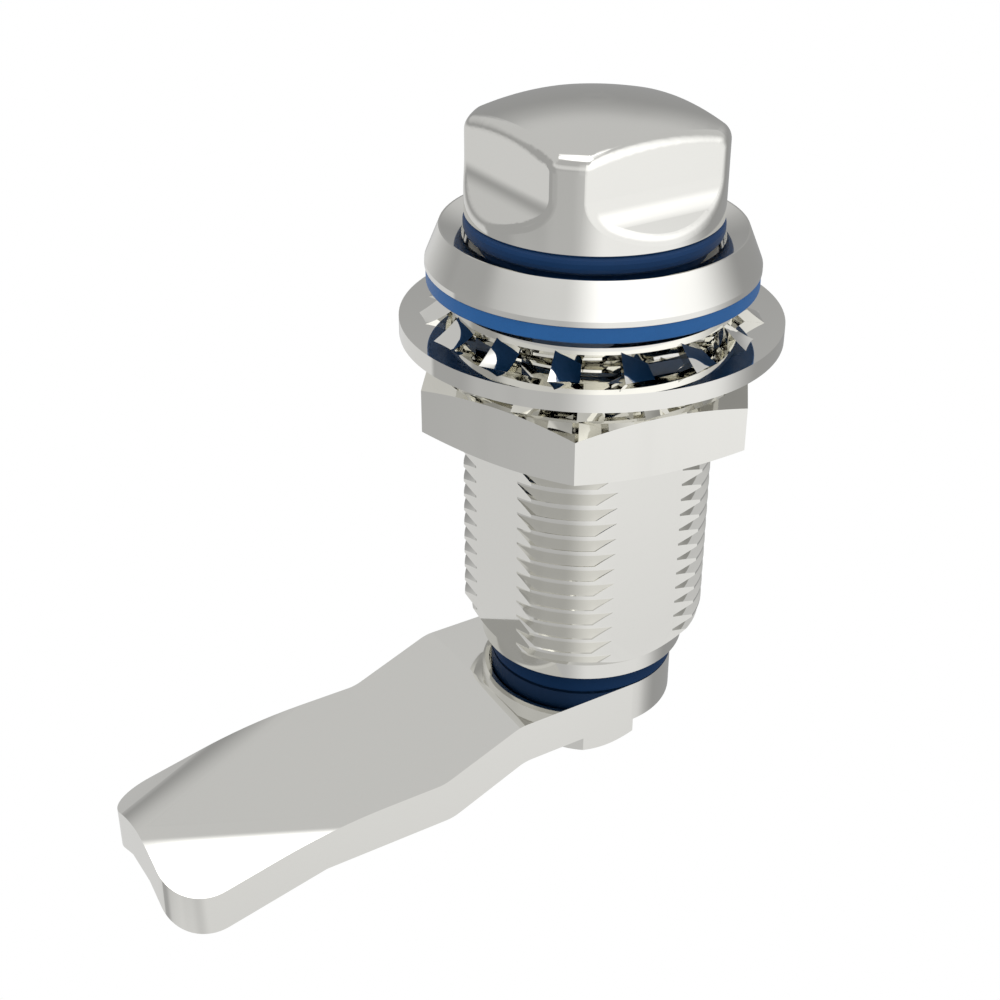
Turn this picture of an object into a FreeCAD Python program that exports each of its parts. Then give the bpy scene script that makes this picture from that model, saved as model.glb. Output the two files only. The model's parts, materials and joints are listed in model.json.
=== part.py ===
import FreeCAD, Part
import math
import os

# Quarter-turn compression latch for a sealed cabinet door.
# Millimetres. +Z runs along the latch axis towards the knob. The origin is on
# the axis, on the outer face of the panel, which is the underside of the
# flange gasket. The cam lever points along -X when the latch is clamped shut.

os.makedirs("parts", exist_ok=True)

V = FreeCAD.Vector
O = V(0, 0, 0)
Z = V(0, 0, 1)

# ---------------------------------------------------------------- dimensions
THREAD_R = 11.0          # M22 x 1.5
THREAD_ROOT_R = 10.08
PITCH = 1.5
BODY_FLAT = 9.5          # axis to each of the four flats of the threaded body
BODY_BOTTOM = -33.36
BODY_CHAMFER = 1.55
COLLAR_R = 9.38
COLLAR_BOTTOM = -35.12
BORE_R = 8.3             # runs the guide sleeve
LOWER_BORE_R = 8.75      # runs the lower seal
LOWER_BORE_TOP = -27.0

FLANGE_R = 14.1
FLANGE_UNDER = 1.37
FLANGE_EDGE_Z = 1.84
FLANGE_TOP_R = 12.9
FLANGE_TOP_Z = 4.75
KNOB_BORE_R = 11.0
KNOB_BORE_Z = 4.06
KNOB_BORE_FLOOR = 2.4

GASKET_R = 14.02
GASKET_T = 1.37

KNOB_R = 10.79
KNOB_BOTTOM = 5.77
KNOB_FLAT = 8.60         # axis to each of the four grip flats
KNOB_FLUTE_Z = 8.85      # where a grip flat turns outwards
KNOB_FLUTE_SLOPE = 1.07  # outward run for each unit of drop
DOME_R = 31.0
DOME_TOP = 15.14
KNOB_EDGE_FILLET = 1.4

WASHER_R = 16.365
WASHER_TOP = -3.16
WASHER_BOTTOM = -4.71
WASHER_BORE_R = 11.3
NUT_AF = 27.0
NUT_TOP = -7.08
NUT_BOTTOM = -12.25
NUT_CHAMFER = (0.335, 0.30)   # slope of the top and bottom chamfers
NUT_TURN = -8.8          # azimuth of a nut corner, degrees

TOOTH_COUNT = 15
TOOTH_T = 1.2
TOOTH_TIP_R = 14.63
TOOTH_TIP_SKEW = 0.33    # how much shorter the tip is on the low side
TOOTH_ROOT_R = 12.2
TOOTH_RISE_HIGH = 1.9    # height of the root above the tip's plane
TOOTH_RISE_LOW = 0.9
TOOTH_SAG = 0.10
TOOTH_SPAN = 9.9         # degrees
TOOTH_RING_R = 12.4
TOOTH_RING_Z = 1.5
TOOTH_RING_T = 0.6
TOOTH_PHASE = -133.15

STROKE = 4.0             # axial travel of the cam
PIN_R = 1.5
PIN_Z = -13.0            # cross pin axis, clamped
PIN_HALF = 7.9
SLOT_R = 1.62
GUIDE_R = 8.2
GUIDE_IN_R = 6.6
GUIDE_LOW_IN_R = 7.1
GUIDE_STEP_Z = -24.0
GUIDE_BOTTOM = -28.6
GUIDE_TOP = 2.32
LUG_R = 10.2
LUG_HALF = 15.0          # half the lug's angle, degrees
LUG_BOTTOM = 1.46
DRIVER_R = 6.5
DRIVER_IN_R = 4.75
DRIVER_TOP = -1.2
DRIVER_BOTTOM = -25.6
SHAFT_R = 4.0
SHAFT_HEAD_R = 4.66
SHAFT_TOP = -10.9
SQUARE = 7.0             # square end that carries the cam

SEAL_R = 8.5
PLUG_TOP = -30.0
CAM_TOP = -37.04
CAM_T = 4.05
CAM_W = 8.475            # half the lever's width, and the hub's radius
BEND1, BEND2 = 12.16, 20.0
LEVEL2 = -40.09
TIP = 44.95
RAMP_S0, RAMP_TIP_N = 29.7, 1.1
RAMP_SLOPE = 0.482
RAMP_R = 10.0            # rounding between the flat top and the ramps
SCREW_AF = 10.0
SCREW_BOTTOM = -46.4
SCREW_CHAMFER_R = 4.75   # where the head's 30 degree chamfer starts

# ------------------------------------------------------------------- helpers


def rev(points, angle=360.0):
    """Solid of revolution about Z from (radius, z) points."""
    pts = [V(r, 0, z) for r, z in points]
    face = Part.Face(Part.makePolygon(pts + [pts[0]]))
    return face.revolve(O, Z, angle)


def tube(r_out, r_in, z0, z1):
    return rev([(r_in, z0), (r_out, z0), (r_out, z1), (r_in, z1)])


def cyl(r, z0, z1):
    return Part.makeCylinder(r, z1 - z0, V(0, 0, z0))


def box(x0, x1, y0, y1, z0, z1):
    return Part.makeBox(x1 - x0, y1 - y0, z1 - z0, V(x0, y0, z0))


def prism(points, z0, z1):
    pts = [V(x, y, z0) for x, y in points]
    return Part.Face(Part.makePolygon(pts + [pts[0]])).extrude(V(0, 0, z1 - z0))


def polar(r, a):
    t = math.radians(a)
    return (r * math.cos(t), r * math.sin(t))


def sector(r0, r1, a0, a1, z0, z1):
    """Annular sector between two radii and two azimuths."""
    face = Part.Face(Part.makePolygon([V(r0, 0, z0), V(r1, 0, z0), V(r1, 0, z1),
                                       V(r0, 0, z1), V(r0, 0, z0)]))
    s = face.revolve(O, Z, a1 - a0)
    s.rotate(O, Z, a0)
    return s


def turned(shape, a):
    s = shape.copy()
    s.rotate(O, Z, a)
    return s


def solid(shape):
    """The single solid in a boolean's result."""
    shape = shape.removeSplitter()
    if len(shape.Solids) == 1:
        return shape.Solids[0]
    return shape


def save(name, shape):
    ok = shape.isValid() and len(shape.Solids) >= 1
    print("%-22s solids %d volume %.2f valid %s" %
          (name, len(shape.Solids), shape.Volume, ok))
    shape.exportStep("parts/%s.step" % name)


def try_fillet(shape, radius, edges, label):
    if not edges:
        print("no edges for", label)
        return shape
    try:
        out = shape.makeFillet(radius, edges)
        if out.isValid() and out.Volume > 0:
            return out
    except Exception as err:
        print("fillet", label, "left sharp:", err)
    return shape


# ------------------------------------------------------------------- housing
housing = rev([
    (0, COLLAR_BOTTOM), (COLLAR_R - 0.25, COLLAR_BOTTOM),
    (COLLAR_R, COLLAR_BOTTOM + 0.25), (COLLAR_R, BODY_BOTTOM),
    (THREAD_R - BODY_CHAMFER, BODY_BOTTOM),
    (THREAD_R, BODY_BOTTOM + BODY_CHAMFER),
    (THREAD_R, FLANGE_UNDER), (FLANGE_R, FLANGE_UNDER),
    (FLANGE_R, FLANGE_EDGE_Z), (FLANGE_TOP_R, FLANGE_TOP_Z),
    (FLANGE_TOP_R - 0.15, FLANGE_TOP_Z), (KNOB_BORE_R, KNOB_BORE_Z),
    (KNOB_BORE_R, KNOB_BORE_FLOOR), (0, KNOB_BORE_FLOOR)])

for k in range(4):
    flat = box(BODY_FLAT, 20, -20, 20, BODY_BOTTOM - 0.001, FLANGE_UNDER - 0.35)
    housing = housing.cut(turned(flat, 90 * k))

housing = housing.cut(cyl(BORE_R, LOWER_BORE_TOP - 1, KNOB_BORE_FLOOR + 1))
housing = housing.cut(cyl(LOWER_BORE_R, COLLAR_BOTTOM - 1, LOWER_BORE_TOP))
# Quarter-turn stop: the arc that the guide sleeve's lug sweeps.
housing = housing.cut(sector(BORE_R - 1, LUG_R + 0.15, -LUG_HALF - 0.6,
                             90 + LUG_HALF + 0.6, 1.36, KNOB_BORE_FLOOR + 1))

# Helical thread groove on the four lands.
helix = Part.makeHelix(PITCH, 36.0, THREAD_R)
helix.translate(V(0, 0, BODY_BOTTOM - 1.0))
z0 = BODY_BOTTOM - 1.0
groove = Part.makePolygon([
    V(THREAD_ROOT_R, 0, z0 - 0.10), V(THREAD_R + 0.12, 0, z0 - 0.70),
    V(THREAD_R + 0.12, 0, z0 + 0.70), V(THREAD_ROOT_R, 0, z0 + 0.10),
    V(THREAD_ROOT_R, 0, z0 - 0.10)])
pipe = Part.Wire(helix.Edges).makePipeShell([groove], True, True)
if pipe.Volume < 0:
    pipe.reverse()
thread_zone = cyl(30, BODY_BOTTOM - 0.01, -0.9)
cutter = pipe.common(thread_zone)
threaded = housing.cut(cutter)
print("thread cut removed", round(housing.Volume - threaded.Volume, 2))
housing = threaded

housing = solid(housing)
save("housing", housing)

# ------------------------------------------------------- outside of the panel
gasket = tube(GASKET_R, THREAD_R + 0.06, 0.0, GASKET_T)
gasket = try_fillet(gasket, 0.12,
                    [e for e in gasket.Edges if len(e.Vertexes) <= 1 and
                     abs(e.BoundBox.XMax - GASKET_R) < 0.01], "gasket rim")
save("flange_gasket", gasket)


def tooth(az, z_face, side, inset):
    """One bent and twisted tooth that ends on the plane z_face.

    side is 1 for a tooth that bends down and -1 for one that bends up, and
    inset makes the tooth shorter than the upper washer's."""
    def at(u, s):
        # u runs from root to tip, s from the tooth's high side to its low one.
        tip = TOOTH_TIP_R - inset - TOOTH_TIP_SKEW * s
        root = TOOTH_ROOT_R - inset * 0.4
        r = root + (tip - root) * u
        h = (TOOTH_RISE_HIGH + (TOOTH_RISE_LOW - TOOTH_RISE_HIGH) * s) * (1 - u)
        h -= TOOTH_SAG * 4 * u * (1 - u) + 0.4 * TOOTH_SAG * 4 * s * (1 - s) * (u + 0.15)
        t = math.radians(az + side * TOOTH_SPAN * (s - 0.5))
        return V(r * math.cos(t), r * math.sin(t), z_face + side * h)

    drop = V(0, 0, -side * TOOTH_T)
    wires = []
    for u in (-0.1, 0.3, 0.6, 0.85, 1.03):
        p, m, q = at(u, 0), at(u, 0.5), at(u, 1)
        m = V((p.x + q.x) / 2, (p.y + q.y) / 2, m.z)
        wires.append(Part.Wire([
            Part.Arc(p, m, q).toShape(), Part.makeLine(q, q + drop),
            Part.makeLine(q + drop, p + drop), Part.makeLine(p + drop, p)]))
    return Part.makeLoft(wires, True, False)


def tooth_washer(z_bottom, z_top, phase, both, inset):
    """Lock washer that stands on z_bottom; with both, every other tooth
    bends up to z_top."""
    z_ring = z_bottom + TOOTH_RING_Z
    ring_r = TOOTH_RING_R - inset * 0.4
    body = tube(ring_r, WASHER_BORE_R, z_ring, z_ring + TOOTH_RING_T)
    if both:
        z_mid = (z_bottom + z_top) / 2.0
        body = tube(ring_r, WASHER_BORE_R, z_mid - TOOTH_RING_T,
                    z_mid + TOOTH_RING_T)
    teeth = []
    step = 360.0 / TOOTH_COUNT
    for k in range(TOOTH_COUNT):
        teeth.append(tooth(phase + k * step, z_bottom + 0.002, 1,
                           inset))
        if both:
            teeth.append(tooth(phase + (k + 0.5) * step, z_top - 0.002, -1,
                               inset))
    ring = body.fuse(teeth)
    ring = ring.common(cyl(TOOTH_TIP_R + 0.5, z_bottom + 0.002, z_top - 0.002))
    return solid(ring)


save("upper_tooth_washer",
     tooth_washer(WASHER_TOP, 0.0, TOOTH_PHASE, False, 0.0))
save("lower_tooth_washer",
     tooth_washer(NUT_TOP, WASHER_BOTTOM, TOOTH_PHASE + 9.0, True, 1.25))
save("flat_washer", tube(WASHER_R, WASHER_BORE_R, WASHER_BOTTOM, WASHER_TOP))

corner = NUT_AF / math.sqrt(3.0)
nut = prism([polar(corner, NUT_TURN + 60 * k) for k in range(6)],
            NUT_BOTTOM, NUT_TOP)
# Turned chamfers take the corners off both ends outside the flats' radius.
nut_r, run = NUT_AF / 2.0, 3.0
nut = nut.common(rev([
    (0, NUT_BOTTOM), (nut_r, NUT_BOTTOM),
    (nut_r + run, NUT_BOTTOM + run * NUT_CHAMFER[1]),
    (nut_r + run, NUT_TOP - run * NUT_CHAMFER[0]), (nut_r, NUT_TOP),
    (0, NUT_TOP)]))
nut = nut.cut(cyl(THREAD_R + 0.03, NUT_BOTTOM - 1, NUT_TOP + 1))
for z_a, z_b in ((NUT_BOTTOM, NUT_BOTTOM + 0.5), (NUT_TOP, NUT_TOP - 0.5)):
    nut = nut.cut(Part.makeCone(THREAD_R + 0.5, THREAD_R, 0.5, V(0, 0, z_a),
                                V(0, 0, 1 if z_b > z_a else -1)))
save("hex_nut", solid(nut))

# ---------------------------------------------------------------------- knob
# Domed head over a plain cylinder, with a neck for the seal and a stem.
dome_c = DOME_TOP - DOME_R
z_edge = dome_c + math.sqrt(DOME_R ** 2 - KNOB_R ** 2)
r_f = KNOB_EDGE_FILLET
# The rim fillet is tangent to the wall and to the dome.
rc = KNOB_R - r_f
zc = dome_c + math.sqrt((DOME_R - r_f) ** 2 - rc ** 2)
n_len = math.hypot(rc, zc - dome_c)
p_dome = (rc * DOME_R / n_len, dome_c + (zc - dome_c) * DOME_R / n_len)
mid_a = (math.atan2(p_dome[1] - zc, p_dome[0] - rc)) / 2.0
p_mid = (rc + r_f * math.cos(mid_a), zc + r_f * math.sin(mid_a))


def P(r, z):
    return V(r, 0, z)


q = p_dome[0] / 2.0
p_dm = (q, dome_c + math.sqrt(DOME_R ** 2 - q ** 2))
STEM_TOP_R = 6.5
edges = [
    Part.makeLine(P(0, -6.0), P(4.7, -6.0)),
    Part.makeLine(P(4.7, -6.0), P(4.7, -1.1)),
    Part.makeLine(P(4.7, -1.1), P(STEM_TOP_R, -1.1)),
    Part.makeLine(P(STEM_TOP_R, -1.1), P(STEM_TOP_R, -0.7)),
    Part.makeLine(P(STEM_TOP_R, -0.7), P(5.5, -0.7)),
    Part.makeLine(P(5.5, -0.7), P(5.5, 0.7)),
    Part.makeLine(P(5.5, 0.7), P(STEM_TOP_R, 0.7)),
    Part.makeLine(P(STEM_TOP_R, 0.7), P(STEM_TOP_R, 2.9)),
    Part.makeLine(P(STEM_TOP_R, 2.9), P(9.5, 2.9)),
    Part.makeLine(P(9.5, 2.9), P(9.5, KNOB_BOTTOM)),
    Part.makeLine(P(9.5, KNOB_BOTTOM), P(KNOB_R - 0.12, KNOB_BOTTOM)),
    Part.makeLine(P(KNOB_R - 0.12, KNOB_BOTTOM), P(KNOB_R, KNOB_BOTTOM + 0.12)),
    Part.makeLine(P(KNOB_R, KNOB_BOTTOM + 0.12), P(KNOB_R, zc)),
    Part.Arc(P(KNOB_R, zc), P(*p_mid), P(*p_dome)).toShape(),
    Part.Arc(P(*p_dome), P(*p_dm), P(0, DOME_TOP)).toShape(),
    Part.makeLine(P(0, DOME_TOP), P(0, -6.0))]
knob = Part.Face(Part.Wire(edges)).revolve(O, Z, 360)

# Grip flute: a flat that turns outwards through a concave fillet and runs
# out of the cylinder below. The cutter's convex corner has radius FL.
FL = 3.0
slope_a = math.atan2(1.0, KNOB_FLUTE_SLOPE)     # ramp's angle to horizontal
turn = math.pi / 2 - slope_a                    # turn between flat and ramp
cut_back = FL * math.tan(turn / 2)
ax, az = KNOB_FLAT, KNOB_FLUTE_Z
run = 5.0
u = (math.cos(slope_a), -math.sin(slope_a))     # down the ramp, outwards
pa = (ax, az + cut_back)
pb = (ax + u[0] * cut_back, az + u[1] * cut_back)
cc = (ax + FL, az + cut_back)
am = math.pi + turn / 2
pm = (cc[0] + FL * math.cos(am), cc[1] + FL * math.sin(am))
ramp_end = (ax + u[0] * run, az + u[1] * run)
prof = Part.Wire([
    Part.makeLine(P(ax, 22), P(*pa)),
    Part.Arc(P(*pa), P(*pm), P(*pb)).toShape(),
    Part.makeLine(P(*pb), P(*ramp_end)),
    Part.makeLine(P(*ramp_end), P(ramp_end[0] + 6, ramp_end[1])),
    Part.makeLine(P(ramp_end[0] + 6, ramp_end[1]), P(ramp_end[0] + 6, 22)),
    Part.makeLine(P(ramp_end[0] + 6, 22), P(ax, 22))])
flute = Part.Face(prof).extrude(V(0, 40, 0))
flute.translate(V(0, -20, 0))
for k in range(4):
    knob = knob.cut(turned(flute, 90 * k))
knob = solid(knob)
# Hole for the pin that holds the driver.
pin_hole = Part.makeCylinder(1.03, 30, V(0, -15, -3.6), V(0, 1, 0))
knob = knob.cut(pin_hole)


def sharp_edges(shape, z_lo, z_hi, degrees):
    """Edges between z_lo and z_hi whose two faces meet at a clear angle."""
    out = []
    for e in shape.Edges:
        bb = e.BoundBox
        if bb.ZMin < z_lo or bb.ZMax > z_hi:
            continue
        faces = shape.ancestorsOfType(e, Part.Face)
        if len(faces) != 2:
            continue
        mid = e.valueAt((e.FirstParameter + e.LastParameter) / 2)
        n = []
        for f in faces:
            uu, vv = f.Surface.parameter(mid)
            n.append(f.normalAt(uu, vv))
        if n[0].getAngle(n[1]) > math.radians(degrees):
            out.append(e)
    return out


for radius in (1.2, 1.05, 0.95, 0.8, 0.65, 0.5):
    soft = sharp_edges(knob, 6.5, 99, 8)
    knob_f = try_fillet(knob, radius, soft, "knob %.2f" % radius)
    if knob_f is not knob:
        print("knob edges", len(soft), "radius", radius)
        knob = knob_f
        break
save("knob", knob)

# Blue lip seal on the knob's neck: one full bead below the skirt.
seal = rev([(9.5, 2.95), (9.62, 2.95), (9.62, 4.1), (10.35, 4.14), (10.62, 4.26),
            (10.8, 4.48), (10.88, 4.8), (10.88, 5.2), (10.8, 5.48),
            (10.66, 5.66), (10.5, KNOB_BOTTOM), (9.5, KNOB_BOTTOM)])
save("knob_seal", seal)

# Thrust washer under the knob's neck.
save("thrust_washer", tube(10.4, 6.62, GUIDE_TOP + 0.1, 2.88))

# Small O-ring in the stem's groove.
ring = Part.makeTorus(6.02, 0.5, V(0, 0, 0.0))
save("stem_o_ring", ring)

# -------------------------------------------------------------------- driver
driver = tube(DRIVER_R, DRIVER_IN_R, DRIVER_BOTTOM, DRIVER_TOP)
driver = driver.cut(pin_hole)
# Helical slot: the cross pin's path as the driver turns a quarter turn.
steps = 30
cutters = []
for i in range(-1, steps + 2):
    th = 90.0 * i / steps
    c = Part.makeCylinder(SLOT_R, 30, V(-15, 0, 0), V(1, 0, 0))
    c.rotate(O, Z, -th)
    c.translate(V(0, 0, PIN_Z - STROKE * th / 90.0))
    cutters.append(c)
driver = driver.cut(cutters)
driver = driver.cut(tube(8, 6.0, -25.1, -24.1))
save("driver", solid(driver))

save("driver_pin", Part.makeCylinder(1.0, 12.6, V(0, -6.3, -3.6), V(0, 1, 0)))


def circlip(r_in, r_out, z0, z1, gap_half, at):
    c = tube(r_out, r_in, z0, z1)
    g = sector(r_in - 1, r_out + 1, at - gap_half, at + gap_half, z0 - 1, z1 + 1)
    return solid(c.cut(g))


save("driver_circlip", circlip(6.02, 7.02, -25.02, -24.16, 25, 90))

# -------------------------------------------------------------- guide sleeve
guide = rev([(GUIDE_IN_R, GUIDE_STEP_Z), (GUIDE_LOW_IN_R, GUIDE_STEP_Z),
             (GUIDE_LOW_IN_R, GUIDE_BOTTOM), (GUIDE_R, GUIDE_BOTTOM),
             (GUIDE_R, GUIDE_TOP), (GUIDE_IN_R, GUIDE_TOP)])
guide = guide.fuse(sector(GUIDE_R - 0.5, LUG_R, -LUG_HALF, LUG_HALF,
                          LUG_BOTTOM, GUIDE_TOP))
slot = box(-15, 15, -SLOT_R, SLOT_R, PIN_Z - STROKE, PIN_Z)
slot = slot.fuse([Part.makeCylinder(SLOT_R, 30, V(-15, 0, PIN_Z), V(1, 0, 0)),
                  Part.makeCylinder(SLOT_R, 30, V(-15, 0, PIN_Z - STROKE),
                                    V(1, 0, 0))])
guide = guide.cut(slot)
guide = guide.cut(tube(10, 7.7, -28.15, -27.05))
guide = guide.cut(tube(10, 7.4, -2.6, -1.2))
save("guide_sleeve", solid(guide))
save("sleeve_circlip", circlip(7.72, 8.6, -28.1, -27.1, 25, 0))
save("sleeve_o_ring", Part.makeTorus(7.85, 0.42, V(0, 0, -1.9)))
save("shaft_bush", tube(GUIDE_LOW_IN_R, SHAFT_R + 0.08, -28.4, -25.95))

# ----------------------------------------------------- shaft and what it lifts
shaft = cyl(SHAFT_HEAD_R, -17.5, SHAFT_TOP).fuse(cyl(SHAFT_R, CAM_TOP, -17.5))
square = box(-SQUARE / 2, SQUARE / 2, -SQUARE / 2, SQUARE / 2,
             CAM_TOP - CAM_T + 1.3, CAM_TOP + 0.01)
square = square.common(cyl(4.6, CAM_TOP - CAM_T, CAM_TOP + 1))
shaft = shaft.fuse(square.common(cyl(SHAFT_R + 0.25, CAM_TOP - CAM_T,
                                     CAM_TOP + 0.01)))
shaft = shaft.cut(Part.makeCylinder(PIN_R, 30, V(-15, 0, PIN_Z), V(1, 0, 0)))
shaft = shaft.cut(cyl(2.52, CAM_TOP - CAM_T - 1, -28.0))
shaft = shaft.cut(tube(6, 3.35, -34.6, -33.2))
save("shaft", solid(shaft))

save("cross_pin", Part.makeCylinder(PIN_R, 2 * PIN_HALF, V(-PIN_HALF, 0, PIN_Z),
                                    V(1, 0, 0)))
save("shaft_o_ring", Part.makeTorus(3.92, 0.5, V(0, 0, -33.9)))

# Blue lower seal: a plug that slides in the collar and stands on the cam.
plug = rev([(SHAFT_R + 0.45, CAM_TOP), (SEAL_R - 0.15, CAM_TOP),
            (SEAL_R, CAM_TOP + 0.15), (SEAL_R, -34.3), (SEAL_R - 0.5, -33.8),
            (SEAL_R - 0.5, -32.2), (SEAL_R, -31.7), (SEAL_R, -30.2),
            (SEAL_R - 0.2, PLUG_TOP), (SHAFT_R + 0.45, PLUG_TOP)])
save("lower_seal", plug)
save("seal_retainer", tube(7.6, SHAFT_R, PLUG_TOP, PLUG_TOP + 0.7))

# Spring between the knob's stem and the shaft's head.
SPRING_TOP, SPRING_BOTTOM, WIRE_R, COIL_R = -6.0, -10.4, 0.42, 4.05
save("spring_seat", tube(4.6, 1.2, SHAFT_TOP, SPRING_BOTTOM))
h = SPRING_TOP - SPRING_BOTTOM - 2 * WIRE_R - 0.04
coil = Part.makeHelix(h / 3.5, h, COIL_R)
coil.translate(V(0, 0, SPRING_BOTTOM + WIRE_R + 0.02))
start = coil.Edges[0].valueAt(coil.Edges[0].FirstParameter)
tangent = coil.Edges[0].tangentAt(coil.Edges[0].FirstParameter)
disc = Part.Wire(Part.Circle(start, tangent, WIRE_R).toShape())
spring = Part.Wire(coil.Edges).makePipeShell([disc], True, True)
if spring.Volume < 0:
    spring.reverse()
save("compression_spring", spring)

# ----------------------------------------------------------------- cam lever
# Profile in (distance along the lever, z), extruded across the lever.
T2 = LEVEL2 - 4.07
lever_pts = [(0, CAM_TOP), (BEND1, CAM_TOP), (BEND2, LEVEL2), (TIP, LEVEL2),
             (TIP, -60), (19.2, -60), (19.2, T2), (11.7, CAM_TOP - CAM_T),
             (0, CAM_TOP - CAM_T)]
pts = [V(-s, -CAM_W, z) for s, z in lever_pts]
lever = Part.Face(Part.makePolygon(pts + [pts[0]])).extrude(V(0, 2 * CAM_W, 0))

ds, dn = TIP - 0.2 - RAMP_S0, CAM_W - RAMP_TIP_N
ln = math.hypot(ds, dn)


def half_space(sign, z_ref, slope, shift, above):
    """Block above or below the ramp plane beside the crease line."""
    # Crease through (RAMP_S0, CAM_W) and the tip; outward normal (nx, ny).
    nx, ny = dn / ln, ds / ln
    e_out = V(-nx, -sign * ny, 0)
    p0 = V(-RAMP_S0, -sign * CAM_W, z_ref) + e_out * shift
    down = V(e_out.x, e_out.y, -slope).normalize()
    along = V(e_out.y, -e_out.x, 0).normalize()
    up = down.cross(along)
    if up.z < 0:
        up = up * -1
    c = p0 - down * 60 - along * 60
    quad = [c, c + down * 120, c + down * 120 + along * 120, c + along * 120]
    face = Part.Face(Part.makePolygon(quad + [quad[0]]))
    return face.extrude(up * (60 if above else -60))


def rounded_ramp(sign, z_ref, slope, shift, radius):
    """Cutter for a ramp that leaves the flat face through a large radius."""
    nx, ny = dn / ln, ds / ln
    e_out = V(-nx, -sign * ny, 0)
    along = V(e_out.y, -e_out.x, 0)
    p0 = V(-RAMP_S0, -sign * CAM_W, z_ref) + e_out * shift
    phi = math.atan(slope)
    t = radius * math.tan(phi / 2)

    def q(d, z):
        return p0 + e_out * d + Z * z - along * 60

    arc = Part.Arc(q(-t, 0),
                   q(-t + radius * math.sin(phi / 2),
                     radius * (math.cos(phi / 2) - 1)),
                   q(-t + radius * math.sin(phi),
                     radius * (math.cos(phi) - 1))).toShape()
    end = q(-t + radius * math.sin(phi), radius * (math.cos(phi) - 1))
    far = q(40, -40 * slope)
    wire = Part.Wire([arc, Part.makeLine(end, far),
                      Part.makeLine(far, q(40, 20)),
                      Part.makeLine(q(40, 20), q(-t, 20)),
                      Part.makeLine(q(-t, 20), q(-t, 0))])
    return Part.Face(wire).extrude(along * 120)


for sign in (1, -1):
    lever = lever.cut(rounded_ramp(sign, LEVEL2, RAMP_SLOPE, 0.5, RAMP_R))
under = box(-70, -19.2, -20, 20, -80, T2)
for sign in (1, -1):
    under = under.cut(half_space(sign, T2, RAMP_SLOPE, 0.84, True))
lever = lever.cut(under)
lever = solid(lever)
for radii, where in (((3.5, 2.5, 1.5), "bend"),):
    for radius in radii:
        soft = []
        for e in lever.Edges:
            bb = e.BoundBox
            across = bb.XLength < 0.01 and bb.ZLength < 0.01 and bb.YLength > 10
            if across and -BEND2 - 1.5 < bb.XMin < -BEND1 + 1.5:
                soft.append(e)
        out = try_fillet(lever, radius, soft, where)
        if out is not lever:
            print(where, "edges", len(soft), "radius", radius)
            lever = out
            break
tip_edges = [e for e in lever.Edges
             if abs(e.BoundBox.XMin + TIP) < 0.01 and
             abs(e.BoundBox.XMax + TIP) < 0.01 and
             abs(abs(e.BoundBox.YMin) - CAM_W) < 0.01 and
             e.BoundBox.ZLength > 1 and e.BoundBox.YLength < 0.01]
print("tip edges", len(tip_edges))
lever = try_fillet(lever, 4.2, tip_edges, "tip corners")
hub = cyl(CAM_W, CAM_TOP - CAM_T, CAM_TOP)
cam = lever.fuse(hub)
cam = solid(cam)
hole = box(-SQUARE / 2 - 0.05, SQUARE / 2 + 0.05, -SQUARE / 2 - 0.05,
           SQUARE / 2 + 0.05, CAM_TOP - CAM_T - 1, CAM_TOP + 1)
hole = hole.common(cyl(4.35, CAM_TOP - CAM_T - 1, CAM_TOP + 1))
cam = cam.cut(hole)
cam = cam.cut(cyl(4.5, CAM_TOP - CAM_T - 1, CAM_TOP - CAM_T + 1.2))
cam = solid(cam)
save("cam_lever", cam)

lock = circlip(2.6, 4.4, CAM_TOP - CAM_T + 0.02, CAM_TOP - CAM_T + 1.18, 6, 200)
save("screw_lock_washer", lock)

# Cam screw: hexagon head below the lever, its lower corners chamfered.
head_top = CAM_TOP - CAM_T
head = prism([polar(SCREW_AF / math.sqrt(3.0), 60 * k) for k in range(6)],
             SCREW_BOTTOM, head_top)
run = 2.0
head = head.common(rev([
    (0, SCREW_BOTTOM), (SCREW_CHAMFER_R, SCREW_BOTTOM),
    (SCREW_CHAMFER_R + run,
     SCREW_BOTTOM + run * math.tan(math.radians(30.0))),
    (SCREW_CHAMFER_R + run, head_top), (0, head_top)]))
screw = head.fuse(rev([(0, head_top - 0.5), (2.5, head_top - 0.5), (2.5, -29.0),
                       (2.1, -28.6), (0, -28.6)]))
save("cam_screw", solid(screw))
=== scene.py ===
import bpy, json, math
from mathutils import Matrix, Vector

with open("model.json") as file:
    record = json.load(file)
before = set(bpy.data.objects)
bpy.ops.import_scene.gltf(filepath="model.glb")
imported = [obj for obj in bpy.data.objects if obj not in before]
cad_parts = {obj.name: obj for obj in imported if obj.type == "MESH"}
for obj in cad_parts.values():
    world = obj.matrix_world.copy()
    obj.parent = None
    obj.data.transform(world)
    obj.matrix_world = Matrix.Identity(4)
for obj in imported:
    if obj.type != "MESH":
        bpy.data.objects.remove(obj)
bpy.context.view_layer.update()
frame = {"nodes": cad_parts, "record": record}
NODES = frame["nodes"]
scene = bpy.context.scene


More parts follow.
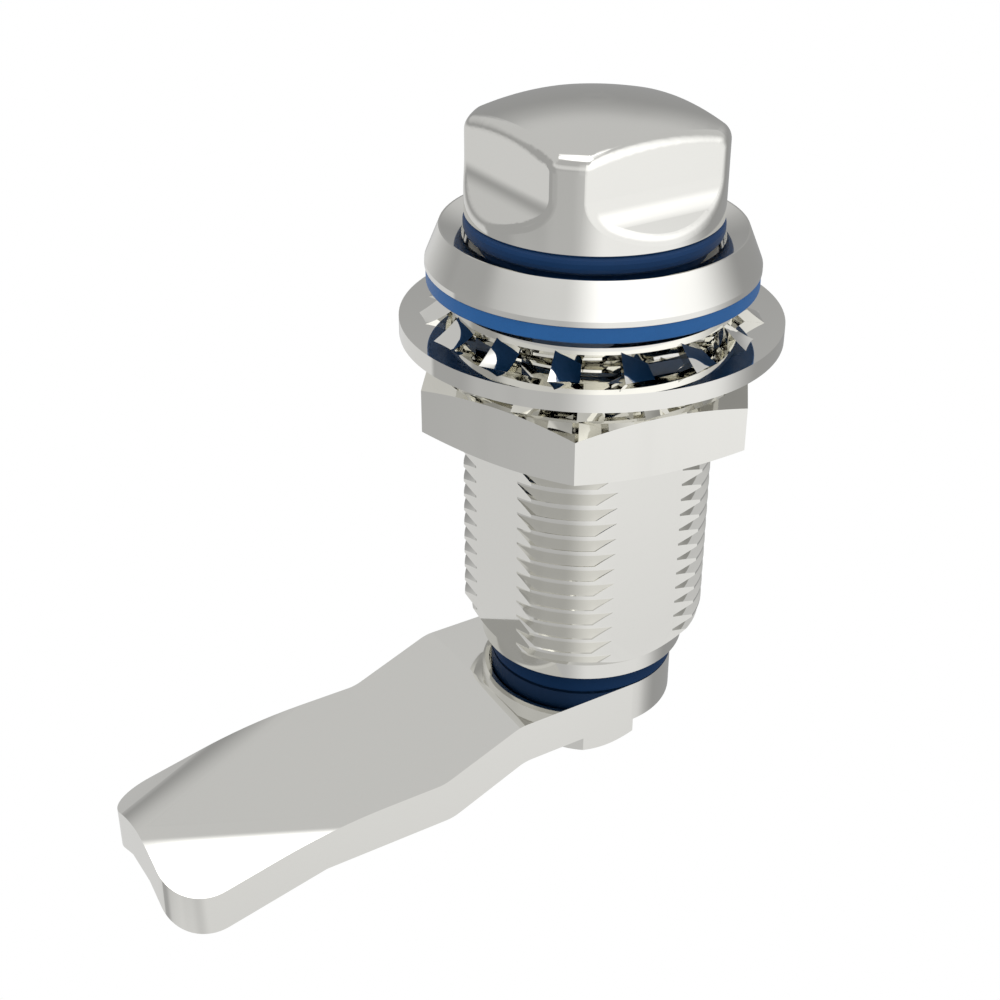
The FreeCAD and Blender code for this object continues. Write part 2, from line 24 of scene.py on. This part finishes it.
# ---------------------------------------------------------------- node helpers
class Graph:
    """A few short words for building node trees by hand."""

    def __init__(self, tree):
        self.tree = tree
        self.nodes = tree.nodes
        self.links = tree.links

    def new(self, kind, **props):
        n = self.nodes.new(kind)
        for k, v in props.items():
            setattr(n, k, v)
        return n

    def put(self, socket, value):
        if isinstance(value, bpy.types.NodeSocket):
            self.links.new(value, socket)
        else:
            socket.default_value = value

    def math(self, op, a, b=0.0, c=None, clamp=False):
        n = self.new("ShaderNodeMath", operation=op, use_clamp=clamp)
        self.put(n.inputs[0], a)
        self.put(n.inputs[1], b)
        if c is not None:
            self.put(n.inputs[2], c)
        return n.outputs[0]

    def add(self, a, b):
        return self.math("ADD", a, b)

    def sub(self, a, b):
        return self.math("SUBTRACT", a, b)

    def mul(self, a, b):
        return self.math("MULTIPLY", a, b)

    def map(self, x, a, b, lo=0.0, hi=1.0, kind="SMOOTHSTEP"):
        n = self.new("ShaderNodeMapRange", interpolation_type=kind, clamp=True)
        self.put(n.inputs["Value"], x)
        self.put(n.inputs["From Min"], a)
        self.put(n.inputs["From Max"], b)
        self.put(n.inputs["To Min"], lo)
        self.put(n.inputs["To Max"], hi)
        return n.outputs["Result"]

    def mix(self, a, b, t):
        n = self.new("ShaderNodeMix", data_type="FLOAT")
        self.put(n.inputs["Factor"], t)
        self.put(n.inputs["A"], a)
        self.put(n.inputs["B"], b)
        return n.outputs["Result"]

    def mix_colour(self, a, b, t, blend="MIX"):
        n = self.new("ShaderNodeMix", data_type="RGBA", blend_type=blend)
        self.put(n.inputs[0], t)
        self.put(n.inputs[6], a)
        self.put(n.inputs[7], b)
        return n.outputs[2]

    def noise(self, vec, scale, detail=3.0, rough=0.55, distortion=0.0):
        n = self.new("ShaderNodeTexNoise")
        self.put(n.inputs["Vector"], vec)
        n.inputs["Scale"].default_value = scale
        n.inputs["Detail"].default_value = detail
        n.inputs["Roughness"].default_value = rough
        n.inputs["Distortion"].default_value = distortion
        return n.outputs["Fac"]

    def bump(self, height, strength, distance, normal=None):
        n = self.new("ShaderNodeBump")
        n.inputs["Strength"].default_value = strength
        n.inputs["Distance"].default_value = distance
        self.put(n.inputs["Height"], height)
        if normal is not None:
            self.put(n.inputs["Normal"], normal)
        return n.outputs["Normal"]

    def mm(self):
        """Object coordinates in millimetres."""
        t = self.new("ShaderNodeTexCoord")
        v = self.new("ShaderNodeVectorMath", operation="SCALE")
        self.links.new(t.outputs["Object"], v.inputs[0])
        v.inputs["Scale"].default_value = 1000.0
        return v.outputs[0]

    def stretch(self, vec, x, y, z):
        v = self.new("ShaderNodeVectorMath", operation="MULTIPLY")
        self.links.new(vec, v.inputs[0])
        v.inputs[1].default_value = (x, y, z)
        return v.outputs[0]

    def xyz(self, vec):
        s = self.new("ShaderNodeSeparateXYZ")
        self.links.new(vec, s.inputs[0])
        return s.outputs

    def join(self, x, y, z):
        c = self.new("ShaderNodeCombineXYZ")
        for s, v in zip(c.inputs, (x, y, z)):
            self.put(s, v)
        return c.outputs[0]


def material(name):
    m = bpy.data.materials.new(name)
    m.use_nodes = True
    m.node_tree.nodes.clear()
    g = Graph(m.node_tree)
    out = g.new("ShaderNodeOutputMaterial")
    sh = g.new("ShaderNodeBsdfPrincipled")
    g.links.new(sh.outputs[0], out.inputs["Surface"])
    return m, g, sh


# ---------------------------------------------------------------- the metals
def polished(name, colour, rough, lay="polish", lay_amount=0.3, smear=0.5, ripple=0.25):
    """Polished stainless: faint polishing lines, hazy patches, a very slight ripple and a painted highlight that
    brightens the colour on convex edges.
    lay is the way the lines run: turned (round the axis), rolled (along X) or polish (crossed); any other value also
    gives crossed lines."""
    m, g, sh = material(name)
    p = g.mm()
    x, y, z = g.xyz(p)
    # haze: where hands and cloths left the polish a little duller
    haze = g.map(g.noise(p, 0.16, 4.0, 0.6, 0.4), 0.42, 0.72)
    fine = g.noise(p, 2.6, 3.0, 0.6)
    if lay == "turned":
        r = g.math("SQRT", g.add(g.mul(x, x), g.mul(y, y)))
        line = g.noise(g.join(g.mul(r, 7.0), 0.0, g.mul(z, 7.0)), 1.0, 5.0, 0.7)
    elif lay == "rolled":
        line = g.noise(g.stretch(p, 0.25, 9.0, 9.0), 1.0, 5.0, 0.7)
    else:
        a = g.noise(g.stretch(p, 0.5, 8.0, 8.0), 1.0, 4.0, 0.65)
        b = g.noise(g.stretch(p, 8.0, 0.5, 3.0), 1.0, 4.0, 0.65)
        line = g.math("MAXIMUM", a, b)
    # sparse hairline scratches
    scr = g.noise(g.stretch(p, 0.35, 14.0, 6.0), 1.0, 2.0, 0.5, 1.2)
    hair = g.map(g.math("ABSOLUTE", g.sub(scr, 0.5)), 0.0, 0.012, 1.0, 0.0)
    hair = g.mul(hair, g.map(g.noise(p, 0.5, 2.0), 0.55, 0.7))
    # edges: Pointiness is over one half on convex edges
    geo = g.new("ShaderNodeNewGeometry")
    edge = g.map(geo.outputs["Pointiness"], 0.515, 0.58)
    rg = g.add(rough, g.mul(g.sub(line, 0.5), 0.05 * lay_amount))
    rg = g.add(rg, g.mul(haze, 0.035 * smear))
    rg = g.add(rg, g.mul(hair, 0.06 * smear))
    rg = g.sub(rg, g.mul(edge, 0.01))
    rg = g.math("MAXIMUM", rg, 0.015)
    g.links.new(rg, sh.inputs["Roughness"])
    c0 = tuple(c * 0.985 for c in colour) + (1.0,)
    c1 = tuple(min(1.0, c * 1.012) for c in colour) + (1.0,)
    t = g.mix(g.noise(p, 0.09, 3.0, 0.5), fine, 0.25)
    base = g.mix_colour(c0, c1, t)
    # painted highlight: convex edges get a slightly brighter steel colour
    base = g.mix_colour(base, tuple(min(1.0, c * 1.03) for c in colour) + (1.0,), edge)
    g.links.new(base, sh.inputs["Base Color"])
    sh.inputs["Metallic"].default_value = 1.0
    h = g.add(g.mul(g.noise(p, 0.35, 2.0, 0.5), 1.0), g.mul(line, 0.02 * lay_amount))
    n = g.bump(h, 1.0, 0.0000045 * ripple)
    g.links.new(n, sh.inputs["Normal"])
    return m


def rubber(name, dark, light, rough, grain=1.0, coat=0.0, shine=0.3):
    m, g, sh = material(name)
    p = g.mm()
    x, y, z = g.xyz(p)
    big = g.noise(p, 0.22, 4.0, 0.6)
    fine = g.noise(p, 9.0, 3.0, 0.65)
    geo = g.new("ShaderNodeNewGeometry")
    edge = g.map(geo.outputs["Pointiness"], 0.51, 0.6)
    t = g.add(g.mul(big, 0.6), g.mul(fine, 0.4))
    c = g.mix_colour(tuple(dark) + (1.0,), tuple(light) + (1.0,), g.map(t, 0.3, 0.7))
    # painted highlight: convex edges get a lighter rubber colour
    c = g.mix_colour(c, tuple(min(1.0, v * 1.25 + 0.01) for v in light) + (1.0,), g.mul(edge, 0.4))
    g.links.new(c, sh.inputs["Base Color"])
    rg = g.add(rough, g.add(g.mul(g.sub(fine, 0.5), 0.16), g.mul(g.sub(big, 0.5), 0.12)))
    g.links.new(rg, sh.inputs["Roughness"])
    h = g.add(g.mul(fine, 0.5), g.mul(g.noise(p, 28.0, 2.0), 0.5))
    g.links.new(g.bump(h, 0.5, 0.00001 * grain), sh.inputs["Normal"])
    sh.inputs["IOR"].default_value = 1.45
    sh.inputs["Specular IOR Level"].default_value = shine
    if coat:
        sh.inputs["Coat Weight"].default_value = coat
        sh.inputs["Coat Roughness"].default_value = 0.2
    return m


def polymer(name, colour):
    m, g, sh = material(name)
    p = g.mm()
    big = g.noise(p, 0.3, 3.0)
    fine = g.noise(p, 6.0, 3.0, 0.6)
    c = g.mix_colour(tuple(v * 0.93 for v in colour) + (1.0,), tuple(min(1, v * 1.05) for v in colour) + (1.0,), g.add(g.mul(big, 0.7), g.mul(fine, 0.3)))
    g.links.new(c, sh.inputs["Base Color"])
    g.links.new(g.add(0.42, g.mul(g.sub(fine, 0.5), 0.2)), sh.inputs["Roughness"])
    g.links.new(g.bump(fine, 0.4, 0.00001), sh.inputs["Normal"])
    return m


STEEL = (0.835, 0.828, 0.792)
mats = {
    "knob_steel": polished("knob_steel", STEEL, 0.045, "polish", 0.5, 0.6, 0.3),
    "housing_steel": polished("housing_steel", STEEL, 0.045, "turned", 0.7, 0.5, 0.2),
    "washer_steel": polished("washer_steel", STEEL, 0.025, "rolled", 0.4, 0.3, 0.15),
    "tooth_steel": polished("tooth_steel", STEEL, 0.02, "rolled", 0.3, 0.2, 0.25),
    "nut_steel": polished("nut_steel", STEEL, 0.05, "turned", 0.5, 0.5, 0.2),
    "cam_steel": polished("cam_steel", STEEL, 0.05, "polish", 0.5, 0.7, 0.35),
    "screw_steel": polished("screw_steel", STEEL, 0.07, "turned", 0.8, 0.5, 0.2),
    "inner_steel": polished("inner_steel", (0.66, 0.655, 0.64), 0.16, "turned", 1.6, 0.8, 0.3),
    "spring_steel": polished("spring_steel", (0.52, 0.52, 0.51), 0.22, "rolled", 1.4, 0.8, 0.3),
    "blue_rubber": rubber("blue_rubber", (0.022, 0.130, 0.375), (0.029, 0.154, 0.437), 0.42),
    # painted shade: a darker copy of the seal blue for the knob seal, standing in for its shade under the knob
    "shade_painted_rubber": rubber("shade_painted_rubber", (0.005, 0.036, 0.118), (0.007, 0.045, 0.142), 0.45, 1.0, 0.0, 0.22),
    # painted shade: a much darker blue for the lower seal, standing in for its shade between the collar and the cam
    "plug_rubber": rubber("plug_rubber", (0.004, 0.026, 0.082), (0.006, 0.034, 0.105), 0.5, 1.0, 0.0, 0.08),
    "dark_rubber": rubber("dark_rubber", (0.012, 0.012, 0.013), (0.022, 0.022, 0.023), 0.5),
    "bush_polymer": polymer("bush_polymer", (0.72, 0.69, 0.60)),
}
for part in frame["record"]["subparts"]:
    o = NODES[part["node"]]
    o.data.materials.clear()
    o.data.materials.append(mats[part["material_slot"]])
# painted shade: the seals that stay under cover get darker copies of the seal blue, standing in for the shade they sit
# in
NODES["knob_seal"].data.materials[0] = mats["shade_painted_rubber"]
# painted shade: the lower seal takes the darkest blue for the shade between collar and cam
NODES["lower_seal"].data.materials[0] = mats["plug_rubber"]


# ---------------------------------------------------------------- studio light
def studio():
    w = bpy.data.worlds.new("studio")
    w.use_nodes = True
    w.node_tree.nodes.clear()
    g = Graph(w.node_tree)
    tc = g.new("ShaderNodeTexCoord")
    x, y, z = g.xyz(tc.outputs["Generated"])
    deg = 180.0 / math.pi
    az = g.mul(g.math("ARCTAN2", y, x), deg)
    el = g.mul(g.math("ARCSINE", z), deg)

    def about(c):
        return g.math("WRAP", g.sub(az, c), 180.0, -180.0)

    def window(v, a, b, c, d):
        return g.mul(g.map(v, a, b), g.map(v, c, d, 1.0, 0.0))

    # the room: grey overhead, darker low down on the far side
    away = about(60.0)
    off = g.mul(g.math("MAXIMUM", g.sub(g.math("ABSOLUTE", away), 12.0), 0.0), 0.75)
    off = g.math("MINIMUM", off, 14.0)
    far = g.map(g.add(el, off), 14.0, 41.0, 0.28, 0.50)
    left = g.map(el, 8.0, 22.0, 0.33, 0.60)
    left = g.mix(0.33, left, window(about(-178.0), -30.0, -12.0, 60.0, 80.0))
    left = g.add(left, g.mul(g.map(g.sub(about(180.0), g.mul(g.math("MINIMUM", g.add(el, 20.0), 0.0), 0.6)), -2.0, 22.0, 0.0, 0.09), g.map(el, 0.0, 20.0, 1.0, 0.0)))
    rise = g.mul(g.map(about(-178.0), -30.0, -14.0), g.map(about(180.0), -2.0, 14.0, 1.0, 0.0))
    left = g.add(left, g.mul(rise, g.map(el, -30.0, -8.0, 0.09, 0.0)))
    room = g.mix(left, far, window(away, -110.0, -90.0, 64.0, 72.0))
    room = g.mix(room, 0.50, g.map(el, 26.0, 40.0))
    room = g.mix(room, 0.41, g.mul(g.map(el, 36.0, 42.0), window(about(-160.0), -30.0, -12.0, 12.0, 30.0)))
    low = g.mul(g.map(el, -48.0, -36.0, 1.0, 0.0), window(about(-155.0), -66.0, -50.0, 0.0, 34.0))
    room = g.mix(room, 0.64, low)
    # a low side panel
    tilt = g.mul(g.math("MINIMUM", g.sub(az, 84.0), 0.0), 0.5)
    side = g.mul(window(az, 58.0, 76.0, 126.0, 131.0), g.map(g.sub(el, tilt), -13.0, 7.0, 1.0, 0.0))
    room = g.mix(room, 0.57, side)
    # the large key panel
    level = g.add(g.map(el, -52.0, -18.0, 0.54, 0.83, "LINEAR"), g.map(el, 4.0, 24.0, 0.0, 0.27))
    slant = g.mul(g.math("MINIMUM", g.add(el, 20.0), 0.0), 0.35)
    key = g.mul(g.map(about(-128.0), -17.0, 14.0), g.map(g.sub(az, slant), -56.0, -6.0, 1.0, 0.0))
    key = g.mul(key, g.map(g.sub(el, g.map(about(-128.0), 10.0, 60.0, 0.0, 16.0)), 44.0, 56.0, 1.0, 0.0))
    room = g.mix(room, level, key)
    # the overhead panel
    room = g.add(room, g.map(g.add(el, g.mul(window(away, -50.0, -30.0, 18.0, 34.0), 7.0)), 67.0, 79.0, 0.0, 1.3))
    strength = g.mul(room, 1.0 / 0.83)
    lit = g.new("ShaderNodeBackground")
    g.links.new(strength, lit.inputs["Strength"])
    lit.inputs["Color"].default_value = (1.0, 1.0, 1.0, 1.0)
    # matt surfaces take their light from above, so that sheltered seals stay dark
    soft = g.new("ShaderNodeBackground")
    g.links.new(g.map(el, -8.0, 60.0, 0.42, 1.6), soft.inputs["Strength"])
    soft.inputs["Color"].default_value = (1.0, 1.0, 1.0, 1.0)
    white = g.new("ShaderNodeBackground")
    white.inputs["Color"].default_value = (1.0, 1.0, 1.0, 1.0)
    path = g.new("ShaderNodeLightPath")
    matt = g.new("ShaderNodeMixShader")
    g.links.new(path.outputs["Is Diffuse Ray"], matt.inputs[0])
    g.links.new(lit.outputs[0], matt.inputs[1])
    g.links.new(soft.outputs[0], matt.inputs[2])
    mix = g.new("ShaderNodeMixShader")
    g.links.new(path.outputs["Is Camera Ray"], mix.inputs[0])
    g.links.new(matt.outputs[0], mix.inputs[1])
    g.links.new(white.outputs[0], mix.inputs[2])
    out = g.new("ShaderNodeOutputWorld")
    g.links.new(mix.outputs[0], out.inputs["Surface"])
    scene.world = w


studio()


# ---------------------------------------------------------------- floor
def floor():
    me = bpy.data.meshes.new("floor")
    s, z = 3.0, -0.075
    me.from_pydata([(-s, -s, z), (s, -s, z), (s, s, z), (-s, s, z)], [], [(0, 1, 2, 3)])
    o = bpy.data.objects.new("floor", me)
    scene.collection.objects.link(o)
    m = bpy.data.materials.new("floor_white")
    m.use_nodes = True
    m.node_tree.nodes.clear()
    g = Graph(m.node_tree)
    out = g.new("ShaderNodeOutputMaterial")
    e = g.new("ShaderNodeEmission")
    e.inputs["Color"].default_value = (1.0, 1.0, 1.0, 1.0)
    e.inputs["Strength"].default_value = 1.0
    g.links.new(e.outputs[0], out.inputs["Surface"])
    me.materials.append(m)
    o.visible_glossy = False
    o.visible_diffuse = False
    o.visible_shadow = False
    return o


floor()

# ---------------------------------------------------------------- camera
cam_data = bpy.data.cameras.new("camera")
cam = bpy.data.objects.new("camera", cam_data)
scene.collection.objects.link(cam)
cam_data.sensor_width = 36.0
cam_data.lens = 58.44
cam_data.clip_start, cam_data.clip_end = 0.005, 20.0
right = Vector((0.8489116, -0.5285327, 0.0014249)).normalized()
up = Vector((0.2609042, 0.4213972, 0.8685352)).normalized()
back = right.cross(up).normalized()
up = back.cross(right).normalized()
rot = Matrix((right, up, back)).transposed().to_4x4()
cam.matrix_world = Matrix.Translation(Vector((-0.07433, -0.10456, 0.05133))) @ rot
scene.camera = cam

scene.view_settings.view_transform = "Standard"
scene.view_settings.look = "None"
scene.cycles.glossy_bounces = 10
scene.cycles.max_bounces = 14
scene.cycles.caustics_reflective = False
scene.cycles.blur_glossy = 0.0
